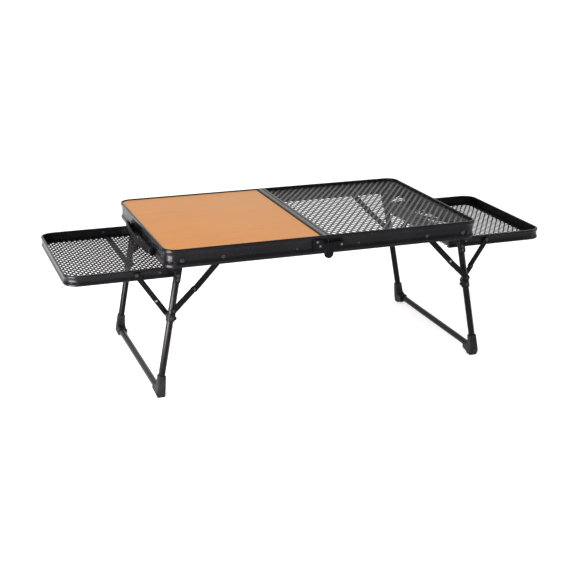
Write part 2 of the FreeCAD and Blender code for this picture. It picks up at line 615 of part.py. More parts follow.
# ---- write the nodes -----------------------------------------------------
leg = leg_frame()
fitting = leg_fitting()
clamp = collar()
boot = foot()
links = stay_links()
for side in ("left", "right"):
    place = mirror_x if side == "left" else (lambda shape: shape)
    save(place(leaf_frame()), side + "_leaf_frame")
    save(place(seam_bar(SEAM_W if side == "left" else SEAM_MESH_W)), side + "_seam_bar")
    bracket = tray_bracket()
    save(place(group([bracket, mirror_y(bracket)])), side + "_tray_brackets")
    save(place(leaf_rivets(side)), side + "_leaf_rivets")
    save(place(handle()), side + "_handle")
    save(place(handle_screws()), side + "_handle_screws")
    save(place(leg), side + "_leg_frame")
    save(place(leg_rivets()), side + "_leg_rivets")
    save(place(tray_rim()), side + "_tray_rim")
    save(place(tray_bar()), side + "_tray_bar")
    save(place(tray_mesh()), side + "_tray_mesh")
    save(place(tray_rivets()), side + "_tray_rivets")
    plate = hinge_leaf(side == "right")
    for depth in ("front", "back"):
        turn = mirror_y if depth == "back" else (lambda shape: shape)
        save(place(turn(fitting)), side + "_leg_fitting_" + depth)
        save(place(turn(clamp)), side + "_leg_collar_" + depth)
        save(place(turn(boot)), side + "_foot_" + depth)
        save(place(turn(plate)), side + "_hinge_leaf_" + depth)
        for name, shape in links.items():
            save(place(turn(shape)), side + "_" + name + "_" + depth)
pin = hinge_pin()
save(group([pin, mirror_y(pin)]), "centre_hinge_pins")
save(wood_panel(), "wood_panel")
save(grill_mesh(), "grill_mesh")
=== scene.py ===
"""Looks for a folding camp table: wood leaf, mesh leaf, U-legs, knee stays and wing trays."""

from __future__ import annotations

import logging
import math
from collections.abc import Callable, Iterable
from dataclasses import dataclass, field
from enum import Enum

import bmesh
import bpy
from mathutils import Matrix, Vector

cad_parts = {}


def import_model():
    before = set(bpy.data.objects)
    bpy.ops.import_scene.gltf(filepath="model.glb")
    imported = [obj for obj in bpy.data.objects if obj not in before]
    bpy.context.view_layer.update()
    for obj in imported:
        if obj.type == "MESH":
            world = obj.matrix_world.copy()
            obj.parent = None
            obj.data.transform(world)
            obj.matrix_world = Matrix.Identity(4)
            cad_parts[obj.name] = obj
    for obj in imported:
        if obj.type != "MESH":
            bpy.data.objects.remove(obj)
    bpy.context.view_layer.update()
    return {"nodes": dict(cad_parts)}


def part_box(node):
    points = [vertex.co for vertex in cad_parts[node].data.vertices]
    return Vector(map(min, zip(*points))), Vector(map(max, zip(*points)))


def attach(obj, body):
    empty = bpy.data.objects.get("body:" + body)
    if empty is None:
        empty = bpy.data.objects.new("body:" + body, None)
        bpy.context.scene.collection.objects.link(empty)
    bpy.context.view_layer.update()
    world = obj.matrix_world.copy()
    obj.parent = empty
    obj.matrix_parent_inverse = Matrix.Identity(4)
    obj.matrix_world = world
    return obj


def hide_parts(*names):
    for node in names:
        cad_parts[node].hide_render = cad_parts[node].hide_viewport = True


log = logging.getLogger("camp_table")

Colour = tuple[float, float, float]
Span = tuple[float, float]
Profile = list[Span]

MM = 0.001

# CAD copies: weld distance and the angle, in degrees, below which faces are one flat area.
WELD = 0.002 * MM
FLAT_ANGLE = 0.6

# Sharp-edge limits in degrees: turned and flat pieces, then bent profiles.
SHARP = 35.0
PROFILE_SHARP = 50.0

# Eased edges: segments, least angle in degrees, and a width for each sort of piece.
EASE_SEGMENTS = 2
EASE_ANGLE = 32.0
SMALL_EASE = 0.25 * MM
PLATE_EASE = 0.3 * MM
LINK_EASE = 0.35 * MM
PLASTIC_EASE = 0.4 * MM
PANEL_EASE = 0.5 * MM
GRIP_EASE = 0.7 * MM
BAR_EASE = 0.8 * MM

# Chords in a full bead corner, in the flank of a bead and in a frame's corner.
ROUND_STEPS = 4
FLANK_STEPS = 3
CORNER_STEPS = 14


class Side(Enum):
    """Which end of the table a piece belongs to; the value is the sign of X."""

    LEFT = -1
    RIGHT = 1

    @property
    def word(self) -> str:
        """Name used in node and body names."""
        return self.name.lower()


class Depth(Enum):
    """Which long side a piece belongs to; the value is the sign of Y."""

    FRONT = -1
    BACK = 1

    @property
    def word(self) -> str:
        """Name used in node names."""
        return self.name.lower()


# ---------------------------------------------------------------- shader maths


@dataclass(frozen=True)
class Expr:
    """A float socket that can be used in Python arithmetic."""

    shader: Shader
    socket: bpy.types.NodeSocket

    def _math(self, operation: str, *values: Expr | float) -> Expr:
        """Add one Math node.

        Args:
            operation: the node's operation.
            values: its inputs in order.

        Returns:
            The node's result.
        """
        links = {index: value for index, value in enumerate(values)}
        node = self.shader.node("ShaderNodeMath", {"operation": operation}, links)
        return Expr(self.shader, node.outputs[0])

    def __add__(self, other: Expr | float) -> Expr:
        """Sum."""
        return self._math("ADD", self, other)

    def __sub__(self, other: Expr | float) -> Expr:
        """Difference."""
        return self._math("SUBTRACT", self, other)

    def __rsub__(self, other: float) -> Expr:
        """Difference with the number first."""
        return self._math("SUBTRACT", other, self)

    def __mul__(self, other: Expr | float) -> Expr:
        """Product."""
        return self._math("MULTIPLY", self, other)

    def __abs__(self) -> Expr:
        """Size without sign."""
        return self._math("ABSOLUTE", self)

    def step(self, low: float, high: float) -> Expr:
        """Smooth ramp from 0 at low to 1 at high.

        Args:
            low: value that gives 0.
            high: value that gives 1.

        Returns:
            The eased value.
        """
        node = self.shader.node("ShaderNodeMapRange", {"interpolation_type": "SMOOTHSTEP"},
                                {"Value": self, "From Min": low, "From Max": high})
        return Expr(self.shader, node.outputs["Result"])


class Shader:
    """Builds one node material."""

    def __init__(self, name: str) -> None:
        """Start an empty material.

        Args:
            name: the material's name.
        """
        self.material = bpy.data.materials.new(name)
        self.material.use_nodes = True
        self.tree = self.material.node_tree
        self.tree.nodes.clear()
        self.coords = self.node("ShaderNodeTexCoord", {}, {}).outputs["Object"]

    def node(self, kind: str, settings: dict, links: dict) -> bpy.types.Node:
        """Add one node.

        Args:
            kind: the node's type.
            settings: attributes, and for a ramp its stops under "stops".
            links: input name or index to a value, socket or expression.

        Returns:
            The new node.
        """
        made = self.tree.nodes.new(kind)
        for key, value in settings.items():
            if key == "stops":
                self._set_stops(made.color_ramp, value)
            else:
                setattr(made, key, value)
        for key, value in links.items():
            if isinstance(value, Expr):
                value = value.socket
            if isinstance(value, bpy.types.NodeSocket):
                self.tree.links.new(value, made.inputs[key])
            else:
                made.inputs[key].default_value = value
        return made

    @staticmethod
    def _set_stops(ramp: bpy.types.ColorRamp, stops: list[tuple[float, tuple]]) -> None:
        """Write a ramp's stops.

        Args:
            ramp: the ramp.
            stops: place and colour of each stop.
        """
        while len(ramp.elements) < len(stops):
            ramp.elements.new(1.0)
        for element, (place, colour) in zip(ramp.elements, stops):
            element.position = place
            element.color = (*colour, 1.0)

    def stretched(self, scale: tuple[float, float, float],
                  turn: float = 0.0) -> bpy.types.NodeSocket:
        """Object coordinates scaled along each axis.

        Args:
            scale: scale along X, Y and Z.
            turn: turn about Z in radians.

        Returns:
            The mapped vector.
        """
        node = self.node("ShaderNodeMapping", {}, {"Vector": self.coords, "Scale": scale,
                                                   "Rotation": (0.0, 0.0, turn)})
        return node.outputs["Vector"]

    def noise(self, scale: float, detail: float = 2.0, vector: bpy.types.NodeSocket | None = None,
              distortion: float = 0.0) -> Expr:
        """Noise from 0 to 1.

        Args:
            scale: cells per metre.
            detail: octaves.
            vector: coordinates, or object coordinates when left out.
            distortion: warp.

        Returns:
            The noise value.
        """
        node = self.node("ShaderNodeTexNoise", {}, {"Vector": vector or self.coords, "Scale": scale,
                                                    "Detail": detail, "Distortion": distortion})
        return Expr(self, node.outputs[0])

    def cells(self, scale: float) -> Expr:
        """Distance to the nearest of scattered points.

        Args:
            scale: cells per metre.

        Returns:
            The distance.
        """
        node = self.node("ShaderNodeTexVoronoi", {}, {"Vector": self.coords, "Scale": scale})
        return Expr(self, node.outputs["Distance"])

    def blend(self, factor: Expr, low: tuple, high: tuple) -> bpy.types.NodeSocket:
        """Mix two colours.

        Args:
            factor: 0 gives low, 1 gives high.
            low: first colour or socket.
            high: second colour or socket.

        Returns:
            The colour socket.
        """
        sides = [(*c, 1.0) if isinstance(c, tuple) else c for c in (low, high)]
        node = self.node("ShaderNodeMix", {"data_type": "RGBA"},
                         {0: factor, 6: sides[0], 7: sides[1]})
        return node.outputs[2]

    def along(self, axis: str) -> Expr:
        """Place along one axis of the object.

        Args:
            axis: X, Y or Z.

        Returns:
            The coordinate in metres.
        """
        split = self.node("ShaderNodeSeparateXYZ", {}, {0: self.coords})
        return Expr(self, split.outputs[axis])

    def upward(self) -> Expr:
        """How much the surface faces up, from -1 to 1."""
        normal = self.node("ShaderNodeNewGeometry", {}, {}).outputs["Normal"]
        split = self.node("ShaderNodeSeparateXYZ", {}, {0: normal})
        return Expr(self, split.outputs["Z"])

    def close(self, colour: bpy.types.NodeSocket, roughness: Expr, height: Expr, depth: float,
              **constants: float | tuple) -> bpy.types.Material:
        """Join everything in the surface shader.

        Args:
            colour: base colour.
            roughness: surface roughness.
            height: bump height from 0 to 1.
            depth: bump distance in metres.
            constants: fixed values of the shader's sockets, with underscores for spaces.

        Returns:
            The finished material.
        """
        bump = self.node("ShaderNodeBump", {},
                         {"Height": height, "Distance": depth, "Strength": 1.0})
        fixed = {key.replace("_", " "): value for key, value in constants.items()}
        surface = self.node("ShaderNodeBsdfPrincipled", {},
                            {"Base Color": colour, "Roughness": roughness,
                             "Normal": bump.outputs[0], **fixed})
        self.node("ShaderNodeOutputMaterial", {}, {"Surface": surface.outputs[0]})
        return self.material


# ------------------------------------------------------------------- finishes


@dataclass(frozen=True)
class PowderCoat:
    """Black coat: faint orange peel, rub marks and a little settled dust."""

    name: str = "black_powder_coat"
    dark: Colour = (0.0030, 0.0030, 0.0034)
    worn: Colour = (0.0058, 0.0058, 0.0066)
    dust: Colour = (0.026, 0.026, 0.027)
    gloss: float = 0.23
    reflect: float = 0.13
    peel: float = 0.06 * MM
    tint: tuple[float, float, float, float] = (1.0, 0.92, 1.0, 1.0)

    def build(self) -> bpy.types.Material:
        """Make the material."""
        s = Shader(self.name)
        patch = s.noise(scale=14.0, detail=4.0)
        fine = s.noise(scale=900.0, detail=2.0)
        dust = s.upward().step(0.55, 1.0) * s.noise(scale=55.0, detail=3.0).step(0.35, 0.75)
        long = s.stretched((260.0, 260.0, 40.0))
        rubs = s.noise(scale=1.0, detail=3.0, vector=long).step(0.66, 0.80)
        coat = s.blend(patch.step(0.3, 0.75) * 0.8 + rubs * 0.2, self.dark, self.worn)
        colour = s.blend(dust * 0.25, coat, self.dust)
        rough = patch * 0.10 + fine * 0.06 + rubs * 0.05 + (self.gloss - 0.05)
        return s.close(colour, rough, fine * 0.7 + s.noise(scale=2600.0) * 0.3, self.peel,
                       Specular_IOR_Level=self.reflect, Specular_Tint=self.tint)


@dataclass(frozen=True)
class Anodised:
    """Satin grey anodised bar with fine drawing lines, and painted shade along its edges and along
    the gap between the two bars.
    """

    name: str = "grey_anodised"
    base: Colour = (0.118, 0.119, 0.111)
    streak: Colour = (0.180, 0.181, 0.170)
    painted_shade: Colour = (0.012, 0.012, 0.012)
    left_edge_shade: Span = (-8.0 * MM, -9.2 * MM)
    right_edge_shade: Span = (4.9 * MM, 5.9 * MM)
    groove_shade: Span = (2.2 * MM, 1.2 * MM)
    line_depth: float = 0.03 * MM
    reflect: float = 0.15

    def build(self) -> bpy.types.Material:
        """Make the material."""
        s = Shader(self.name)
        lines = s.noise(scale=1.0, detail=3.0, vector=s.stretched((1500.0, 9.0, 1500.0)))
        patch = s.noise(scale=18.0, detail=3.0)
        metal = s.blend(lines * 0.6 + patch * 0.4, self.base, self.streak)
        place = s.along("X")
        # Painted shade: dark bands where the bars meet the wood and the mesh, and along the gap
        # between the two bars.
        edges = place.step(*self.left_edge_shade) + place.step(*self.right_edge_shade)
        groove_shade = abs(place).step(*self.groove_shade)
        colour = s.blend(edges * 0.88 + groove_shade * 0.92, metal, self.painted_shade)
        return s.close(colour, lines * 0.16 + patch * 0.10 + 0.36, lines, self.line_depth,
                       Specular_IOR_Level=self.reflect)


@dataclass(frozen=True)
class WoodLaminate:
    """Orange-tan laminate: fine grain along the leaf, soft figure, pores, and painted shade along
    its edges.
    """

    name: str = "wood_laminate"
    light: Colour = (0.700, 0.306, 0.098)
    mid: Colour = (0.648, 0.264, 0.071)
    dark: Colour = (0.540, 0.200, 0.048)
    pale: Colour = (0.670, 0.330, 0.140)
    painted_shade: Colour = (0.030, 0.016, 0.010)
    grain_turn: float = 0.02
    paler_back: Span = (-0.20, 0.22)
    paler_seam: Span = (-0.32, 0.02)
    side_rim: Span = (195.2 * MM, 196.2 * MM)
    seam_rim: Span = (-14.0 * MM, -13.0 * MM)
    pore_depth: float = 0.05 * MM
    reflect: float = 0.08

    def build(self) -> bpy.types.Material:
        """Make the material."""
        s = Shader(self.name)
        grain = s.stretched((6.0, 110.0, 60.0), self.grain_turn)
        figure = s.noise(scale=1.0, detail=5.0, vector=grain, distortion=0.5)
        cloud = s.noise(scale=5.5, detail=3.0)
        thin = s.stretched((34.0, 900.0, 300.0), self.grain_turn)
        pores = s.noise(scale=1.0, detail=2.0, vector=thin).step(0.60, 0.78)
        body = s.node("ShaderNodeValToRGB",
                      {"stops": [(0.22, self.dark), (0.5, self.mid), (0.78, self.light)]},
                      {"Fac": figure * 0.62 + cloud * 0.38}).outputs[0]
        across, length = s.along("Y"), s.along("X")
        # Paler towards the back and towards the seam.
        paler = across.step(*self.paler_back) * 0.45 + length.step(*self.paler_seam) * 0.35
        face = s.blend(paler, s.blend(pores * 0.26, body, self.dark), self.pale)
        # Painted shade: a dark band along the front and back edges and the seam edge, where the
        # panel meets the frame and the bar.
        rim = abs(across).step(*self.side_rim) + length.step(*self.seam_rim)
        colour = s.blend(rim * 0.85, face, self.painted_shade)
        rough = figure * 0.12 + pores * 0.15 + 0.40
        return s.close(colour, rough, figure * 0.4 + (1 - pores) * 0.6, self.pore_depth,
                       Specular_IOR_Level=self.reflect)


@dataclass(frozen=True)
class RivetSteel:
    """Plated rivets and pins, slightly stained; heads near the hinge can carry a painted highlight.
    """

    name: str = "rivet_steel"
    bright: Colour = (0.42, 0.41, 0.40)
    stained: Colour = (0.20, 0.19, 0.18)
    bare: Colour = (0.15, 0.15, 0.15)
    bare_reach: float = 0.0
    bare_fade: float = 4 * MM
    pitting: float = 0.04 * MM
    metallic: float = 0.9

    def build(self) -> bpy.types.Material:
        """Make the material; heads near the hinge line are painted lighter, standing in for their
        glints.
        """
        s = Shader(self.name)
        stain = s.noise(scale=420.0, detail=4.0)
        fine = s.noise(scale=2200.0, detail=2.0)
        colour = s.blend(stain.step(0.4, 0.7), self.bright, self.stained)
        if self.bare_reach:
            # Painted highlight: heads near the hinge line are blended lighter, standing in for
            # their glints.
            near = abs(s.along("X")).step(self.bare_reach, self.bare_reach - self.bare_fade)
            colour = s.blend(near * stain.step(0.25, 0.45), colour, self.bare)
        return s.close(colour, stain * 0.25 + fine * 0.08 + 0.18, fine, self.pitting,
                       Metallic=self.metallic)


@dataclass(frozen=True)
class MouldedPlastic:
    """Moulded plastic with a fine spark-eroded grain and scuffs."""

    name: str
    base: Colour
    scuff: Colour
    rough: float = 0.5
    reflect: float = 0.07
    grain_depth: float = 0.09 * MM

    def build(self) -> bpy.types.Material:
        """Make the material."""
        s = Shader(self.name)
        grain = s.cells(scale=1500.0)
        patch = s.noise(scale=60.0, detail=4.0)
        colour = s.blend(patch.step(0.45, 0.8), self.base, self.scuff)
        rough = patch * 0.16 + grain * 0.08 + (self.rough - 0.08)
        return s.close(colour, rough, grain * 0.8 + s.noise(scale=500.0) * 0.2,
                       self.grain_depth, Specular_IOR_Level=self.reflect)


@dataclass(frozen=True)
class StudioPaper:
    """Pale seamless paper under the table."""

    name: str = "studio_paper"
    low: Colour = (0.93, 0.93, 0.93)
    high: Colour = (0.97, 0.97, 0.97)
    glow: float = 0.46
    fibre_depth: float = 0.02 * MM

    def build(self) -> bpy.types.Material:
        """Make the material."""
        s = Shader(self.name)
        fibre = s.noise(scale=700.0, detail=3.0)
        colour = s.blend(s.noise(scale=3.0, detail=2.0), self.low, self.high)
        return s.close(colour, fibre * 0.1 + 0.8, fibre, self.fibre_depth,
                       Specular_IOR_Level=0.0, Emission_Color=(1.0, 1.0, 1.0, 1.0),
                       Emission_Strength=self.glow)


def finish(kind: type, *values: object, **named: object) -> bpy.types.Material:
    """Palette field that builds its material when the palette is made.

    Args:
        kind: the finish's class.
        values: its leading values.
        named: its other values by name.

    Returns:
        The dataclass field.
    """
    return field(default_factory=lambda: kind(*values, **named).build())


@dataclass
class Palette:
    """Every finish, built once."""

    frame: bpy.types.Material = finish(PowderCoat)
    steel: bpy.types.Material = finish(
        PowderCoat, "black_steel", (0.0022, 0.0022, 0.0026), (0.0050, 0.0050, 0.0058),
        gloss=0.14, reflect=0.09)
    fittings: bpy.types.Material = finish(
        PowderCoat, "black_fittings", (0.0026, 0.0026, 0.0030), (0.0060, 0.0060, 0.0068),
        gloss=0.24, reflect=0.06)
    mesh: bpy.types.Material = finish(
        PowderCoat, "black_mesh", (0.0075, 0.0075, 0.0080), (0.0150, 0.0150, 0.0160),
        gloss=0.34, reflect=0.30)
    tray_mesh: bpy.types.Material = finish(
        PowderCoat, "black_tray_mesh", (0.0040, 0.0040, 0.0045), (0.0085, 0.0085, 0.0095),
        gloss=0.36, reflect=0.15)
    seam: bpy.types.Material = finish(Anodised)
    tray_bar: bpy.types.Material = finish(
        PowderCoat, "tray_bar_coat", (0.0080, 0.0080, 0.0088), (0.0150, 0.0150, 0.0165),
        gloss=0.40)
    wood: bpy.types.Material = finish(WoodLaminate)
    rivet: bpy.types.Material = finish(RivetSteel)
    # Blackened rivets; heads near the hinge get a painted highlight.
    dark_rivet: bpy.types.Material = finish(
        RivetSteel, "blackened_rivet", (0.050, 0.050, 0.050), (0.016, 0.016, 0.016),
        bare_reach=44 * MM)
    foot: bpy.types.Material = finish(
        MouldedPlastic, "foot_plastic", (0.011, 0.0105, 0.0115), (0.024, 0.023, 0.025), 0.46)
    collar: bpy.types.Material = finish(
        MouldedPlastic, "collar_plastic", (0.0045, 0.0045, 0.0050), (0.0090, 0.0090, 0.0098),
        0.32)
    handle: bpy.types.Material = finish(
        MouldedPlastic, "handle_plastic", (0.0045, 0.0045, 0.0050), (0.0085, 0.0085, 0.0092),
        0.36)


# ---------------------------------------------------------------- mesh helpers


@dataclass
class Workshop:
    """Turns bmeshes and CAD nodes into dressed pieces that ride on their bodies."""

    nodes: dict[str, bpy.types.Object]
    count: int = 0

    def piece(self, bm: bmesh.types.BMesh, name: str, material: bpy.types.Material, body: str,
              stands_for: Iterable[str], sharp: float = SHARP,
              round_edges: float = 0.0) -> bpy.types.Object:
        """Finish one piece.

        Args:
            bm: its mesh, freed here.
            name: piece name.
            material: its finish.
            body: CAD body it rides on.
            stands_for: CAD nodes it replaces.
            sharp: edges steeper than this, in degrees, stay sharp.
            round_edges: width of a live bevel in metres, or 0 for none.

        Returns:
            The object.
        """
        mesh = bpy.data.meshes.new(name)
        bm.to_mesh(mesh)
        bm.free()
        mesh.materials.append(material)
        mesh.shade_smooth()
        mesh.set_sharp_from_angle(angle=math.radians(sharp))
        made = bpy.data.objects.new(name, mesh)
        bpy.context.scene.collection.objects.link(made)
        if round_edges:
            bevel = made.modifiers.new("eased_edges", "BEVEL")
            bevel.width = round_edges
            bevel.segments = EASE_SEGMENTS
            bevel.limit_method = "ANGLE"
            bevel.angle_limit = math.radians(EASE_ANGLE)
            bevel.use_clamp_overlap = False
            bevel.harden_normals = True
        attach(made, body)
        names = list(stands_for)
        if names:
            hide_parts(*names)
        self.count += 1
        log.info("piece %s: %d faces on %s", name, len(mesh.polygons), body)
        return made

    def merged_copy(self, node: str) -> bmesh.types.BMesh:
        """A welded copy of a CAD node's mesh.

        Args:
            node: the CAD node.

        Returns:
            The copy, with flat areas joined into single faces.
        """
        bm = bmesh.new()
        bm.from_mesh(self.nodes[node].data)
        bmesh.ops.remove_doubles(bm, verts=bm.verts, dist=WELD)
        bmesh.ops.dissolve_limit(bm, angle_limit=math.radians(FLAT_ANGLE), verts=bm.verts,
                                 edges=bm.edges)
        return bm

    def dressed(self, node: str, material: bpy.types.Material, body: str,
                round_edges: float) -> bpy.types.Object:
        """A CAD node's shape with eased edges and a finish.

        Args:
            node: the CAD node.
            material: its finish.
            body: CAD body it rides on.
            round_edges: width of the eased edges in metres.

        Returns:
            The object.
        """
        return self.piece(self.merged_copy(node), node + "_look", material, body, [node],
                          round_edges=round_edges)


def arc_points(centre: tuple[float, float], radius: float, start: float, end: float,
               steps: int) -> Profile:
    """Points on an arc.

    Args:
        centre: arc centre.
        radius: arc radius.
        start: first angle in degrees.
        end: last angle in degrees.
        steps: number of chords.

    Returns:
        The points in order.
    """
    angles = [math.radians(start + (end - start) * i / steps) for i in range(steps + 1)]
    return [(centre[0] + radius * math.cos(a), centre[1] + radius * math.sin(a)) for a in angles]


def bead_faces(top: float, low: float, height: float, r: float) -> tuple[Profile, Profile]:
    """Outer faces of the rounded beads along the top and the bottom of a profile.

    Args:
        top: the profile's top.
        low: the profile's bottom.
        height: height of each bead.
        r: radius of their corners.

    Returns:
        The upper bead's points and the lower bead's points, from the top down.
    """
    upper = arc_points((r, top - r), r, 90, 180, ROUND_STEPS)
    upper += arc_points((r, top - height + r), r, 180, 235, FLANK_STEPS)
    lower = arc_points((r, low + height - r), r, 125, 180, FLANK_STEPS)
    lower += arc_points((r, low + r), r, 180, 270, ROUND_STEPS)
    return upper, lower


def extruded(bm: bmesh.types.BMesh, edges: list[bmesh.types.BMEdge],
             move: Vector) -> list[bmesh.types.BMEdge]:
    """Extrude edges by a vector.

    Args:
        bm: the mesh they are in.
        edges: the edges.
        move: the vector.

    Returns:
        The new edges.
    """
    new = bmesh.ops.extrude_edge_only(bm, edges=edges)["geom"]
    moved = [g for g in new if isinstance(g, bmesh.types.BMVert)]
    bmesh.ops.translate(bm, vec=move, verts=moved)
    return [g for g in new if isinstance(g, bmesh.types.BMEdge)]


def sweep_three_sides(section: Profile, x0: float, x1: float, half: float, radius: float,
                      side: Side) -> bmesh.types.BMesh:
    """Sweep a closed section round the front, outer end and back of a panel.

    Args:
        section: points as (inward distance, height).
        x0: inner end, as a distance from the seam.
        x1: outer end.
        half: half width.
        radius: corner radius.
        side: end of the table.

    Returns:
        The swept shell, closed at both ends.
    """
    bm = bmesh.new()
    verts = [bm.verts.new((x0, -half + inward, z)) for inward, z in section]
    ring = [bm.edges.new((a, b)) for a, b in zip(verts, verts[1:] + verts[:1])]

    def turn(edges: list[bmesh.types.BMEdge], centre: Vector) -> list[bmesh.types.BMEdge]:
        """Spin a ring of edges a quarter turn."""
        spun = bmesh.ops.spin(bm, geom=edges, cent=centre, axis=(0, 0, 1), angle=math.pi / 2,
                              steps=CORNER_STEPS, use_merge=False,
                              use_duplicate=False)["geom_last"]
        return [g for g in spun if isinstance(g, bmesh.types.BMEdge)]

    ring = extruded(bm, ring, Vector((x1 - radius - x0, 0, 0)))
    ring = turn(ring, Vector((x1 - radius, -half + radius, 0)))
    ring = extruded(bm, ring, Vector((0, 2 * (half - radius), 0)))
    ring = turn(ring, Vector((x1 - radius, half - radius, 0)))
    extruded(bm, ring, Vector((x0 - x1 + radius, 0, 0)))
    bmesh.ops.holes_fill(bm, edges=[e for e in bm.edges if e.is_boundary], sides=0)
    if side is Side.LEFT:
        bmesh.ops.scale(bm, vec=(-1, 1, 1), verts=bm.verts)
    bmesh.ops.recalc_face_normals(bm, faces=bm.faces)
    return bm


@dataclass
class ExpandedSheet:
    """Expanded-metal sheet: slit, stretched and slightly twisted strands.

    x0, x1, half and corner give the outline, z the height, and cell the size of an opening.
    """

    x0: float
    x1: float
    half: float
    corner: float
    z: float
    cell: Span
    strand: float
    tilt: float = 0.9 * MM
    thickness: float = 1.4 * MM
    corner_cuts: tuple[float, ...] = (22.5, 45.0, 67.5)

    def build(self, side: Side) -> bmesh.types.BMesh:
        """Make the sheet.

        Args:
            side: end of the table.

        Returns:
            The sheet's mesh.
        """
        bm = bmesh.new()
        px, py = self.cell
        reach = max((self.x1 - self.x0) / px, 2 * self.half / py) + 2
        count = int(reach) * 2
        bmesh.ops.create_grid(bm, x_segments=count, y_segments=count, size=count / 2)
        turn = Matrix.Rotation(math.pi / 4, 3, "Z")
        bmesh.ops.rotate(bm, cent=(0, 0, 0), matrix=turn, verts=bm.verts)
        root = math.sqrt(0.5)
        bmesh.ops.scale(bm, vec=(px * root, py * root, 1), verts=bm.verts)
        middle = Vector(((self.x0 + self.x1) / 2, 0, 0))
        bmesh.ops.translate(bm, vec=middle, verts=bm.verts)
        far = [f for f in bm.faces if not self._near(f.calc_center_median())]
        bmesh.ops.delete(bm, geom=far, context="FACES")
        holes = list(bm.faces)
        centres = {f: f.calc_center_median() for f in holes}
        bmesh.ops.inset_individual(bm, faces=holes, thickness=self.strand / 2,
                                   use_even_offset=True)
        for face in holes:
            for vert in face.verts:
                vert.co.z += self.tilt * (vert.co.x - centres[face].x) / (px / 2)
        bmesh.ops.delete(bm, geom=holes, context="FACES_ONLY")
        self._trim(bm)
        bmesh.ops.translate(bm, vec=(0, 0, self.z), verts=bm.verts)
        if side is Side.LEFT:
            bmesh.ops.scale(bm, vec=(-1, 1, 1), verts=bm.verts)
        bmesh.ops.recalc_face_normals(bm, faces=bm.faces)
        bmesh.ops.solidify(bm, geom=bm.faces, thickness=self.thickness)
        bmesh.ops.recalc_face_normals(bm, faces=bm.faces)
        return bm

    def _near(self, point: Vector) -> bool:
        """Whether a cell reaches the sheet.

        Args:
            point: the cell's centre.

        Returns:
            True when it does.
        """
        px, py = self.cell
        return self.x0 - px < point.x < self.x1 + px and abs(point.y) < self.half + py

    def _trim(self, bm: bmesh.types.BMesh) -> None:
        """Cut the lattice to the sheet's outline.

        Args:
            bm: the lattice.
        """
        planes = [(Vector((self.x0, 0, 0)), Vector((-1, 0, 0))),
                  (Vector((self.x1, 0, 0)), Vector((1, 0, 0)))]
        for sign in (-1, 1):
            planes.append((Vector((0, sign * self.half, 0)), Vector((0, sign, 0))))
            centre = Vector((self.x1 - self.corner, sign * (self.half - self.corner), 0))
            for angle in self.corner_cuts:
                a = math.radians(angle)
                normal = Vector((math.cos(a), sign * math.sin(a), 0))
                planes.append((centre + normal * self.corner, normal))
        for point, normal in planes:
            bmesh.ops.bisect_plane(bm, geom=bm.verts[:] + bm.edges[:] + bm.faces[:], dist=1e-7,
                                   plane_co=point, plane_no=normal, clear_outer=True)


# ---------------------------------------------------------------- sub-assemblies


